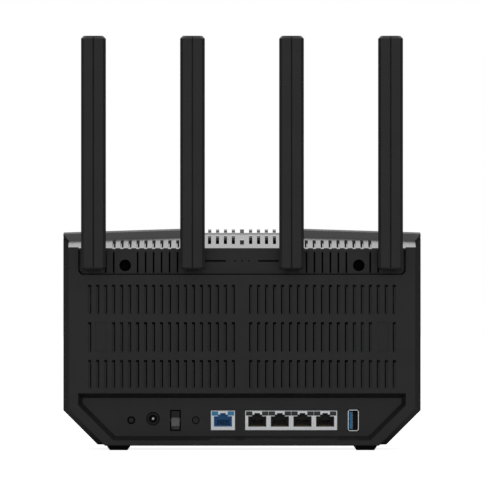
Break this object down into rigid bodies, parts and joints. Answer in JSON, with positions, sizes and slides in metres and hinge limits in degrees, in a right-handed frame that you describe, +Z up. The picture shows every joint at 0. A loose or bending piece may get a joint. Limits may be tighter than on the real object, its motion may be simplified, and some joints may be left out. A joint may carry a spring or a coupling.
{
  "type": "wireless router",
  "caption": "Upright black wireless router with folding, swivelling flat antennas, a vented rear cover and a recessed row of network, USB and power sockets.",
  "frame": {"origin": "on the surface that the feet stand on, in the middle of the overall width and depth", "axes": "+Z up, the sockets and antennas face -Y, the indicators face +Y, +X to the right seen from behind"},
  "size_m": [0.2338, 0.097, 0.2693],
  "materials": {
    "case": "fine satin texture",
    "antenna": "fine satin texture",
    "rubber": "matte",
    "shield": "tin plated, satin",
    "steel": "satin",
    "sink": "black anodised",
    "board": "solder mask",
    "blue": "moulded",
    "socket": "moulded",
    "button": "moulded",
    "rocker": "satin",
    "lens": "frosted",
    "lead": "smooth jacket"
  },
  "bodies": {
    "root": {"antenna_lead_inner_left": "lead", "antenna_lead_inner_right": "lead", "antenna_lead_outer_left": "lead", "antenna_lead_outer_right": "lead", "antenna_panel": "case", "board_screw_1": "steel", "board_screw_2": "steel", "board_screw_3": "steel", "board_screw_4": "steel", "dc_jack_body": "socket", "dc_jack_pin": "steel", "foot_front_left": "rubber", "foot_front_right": "rubber", "foot_rear_left": "rubber", "foot_rear_right": "rubber", "front_cover": "case", "heat_sink": "sink", "lan_jack_insert": "socket", "lan_jack_shield": "shield", "light_pipe": "lens", "main_board": "board", "pairing_switch": "socket", "panel_screw_left": "steel", "panel_screw_right": "steel", "power_switch_body": "socket", "processor": "socket", "radio_shield": "shield", "rear_cover": "case", "reset_switch": "socket", "roof_cover": "case", "usb_shell": "shield", "usb_tongue": "blue", "wan_jack_insert": "blue", "wan_jack_shield": "shield"},
    "base_outer_left": {"antenna_base_outer_left": "antenna"},
    "antenna_outer_left": {"antenna_rear_shell_outer_left": "antenna", "antenna_front_shell_outer_left": "antenna", "antenna_element_outer_left": "board", "antenna_pin_outer_left": "steel"},
    "base_inner_left": {"antenna_base_inner_left": "antenna"},
    "antenna_inner_left": {"antenna_rear_shell_inner_left": "antenna", "antenna_front_shell_inner_left": "antenna", "antenna_element_inner_left": "board", "antenna_pin_inner_left": "steel"},
    "base_inner_right": {"antenna_base_inner_right": "antenna"},
    "antenna_inner_right": {"antenna_rear_shell_inner_right": "antenna", "antenna_front_shell_inner_right": "antenna", "antenna_element_inner_right": "board", "antenna_pin_inner_right": "steel"},
    "base_outer_right": {"antenna_base_outer_right": "antenna"},
    "antenna_outer_right": {"antenna_rear_shell_outer_right": "antenna", "antenna_front_shell_outer_right": "antenna", "antenna_element_outer_right": "board", "antenna_pin_outer_right": "steel"},
    "rocker": {"power_rocker": "rocker"},
    "reset": {"reset_button": "button"},
    "pairing": {"pairing_button": "button"}
  },
  "joints": [
    {"name": "swivel_outer_left", "type": "hinge", "parent": "root", "child": "base_outer_left", "pos_m": [-0.0964, -0.04005, 0.1232], "axis": [0, 1, 0], "range_deg": [-90, 15]},
    {"name": "tilt_outer_left", "type": "hinge", "parent": "base_outer_left", "child": "antenna_outer_left", "pos_m": [-0.0964, -0.04005, 0.1232], "axis": [1, 0, 0], "range_deg": [0, 90]},
    {"name": "swivel_inner_left", "type": "hinge", "parent": "root", "child": "base_inner_left", "pos_m": [-0.03213, -0.04005, 0.1232], "axis": [0, 1, 0], "range_deg": [-15, 15]},
    {"name": "tilt_inner_left", "type": "hinge", "parent": "base_inner_left", "child": "antenna_inner_left", "pos_m": [-0.03213, -0.04005, 0.1232], "axis": [1, 0, 0], "range_deg": [0, 90]},
    {"name": "swivel_inner_right", "type": "hinge", "parent": "root", "child": "base_inner_right", "pos_m": [0.03213, -0.04005, 0.1232], "axis": [0, 1, 0], "range_deg": [-15, 15]},
    {"name": "tilt_inner_right", "type": "hinge", "parent": "base_inner_right", "child": "antenna_inner_right", "pos_m": [0.03213, -0.04005, 0.1232], "axis": [1, 0, 0], "range_deg": [0, 90]},
    {"name": "swivel_outer_right", "type": "hinge", "parent": "root", "child": "base_outer_right", "pos_m": [0.0964, -0.04005, 0.1232], "axis": [0, 1, 0], "range_deg": [-15, 90]},
    {"name": "tilt_outer_right", "type": "hinge", "parent": "base_outer_right", "child": "antenna_outer_right", "pos_m": [0.0964, -0.04005, 0.1232], "axis": [1, 0, 0], "range_deg": [0, 90]},
    {"name": "rocker_rock", "type": "hinge", "parent": "root", "child": "rocker", "pos_m": [-0.0433, -0.02505, 0.0194], "axis": [1, 0, 0], "range_deg": [0, 25]},
    {"name": "reset_press", "type": "slide", "parent": "root", "child": "reset", "axis": [0, 1, 0], "range_m": [0, 0.0008], "stiffness_N_per_m": 300, "springref_m": -0.0005},
    {"name": "pairing_press", "type": "slide", "parent": "root", "child": "pairing", "axis": [0, 1, 0], "range_m": [0, 0.0008], "stiffness_N_per_m": 300, "springref_m": -0.0005}
  ]
}
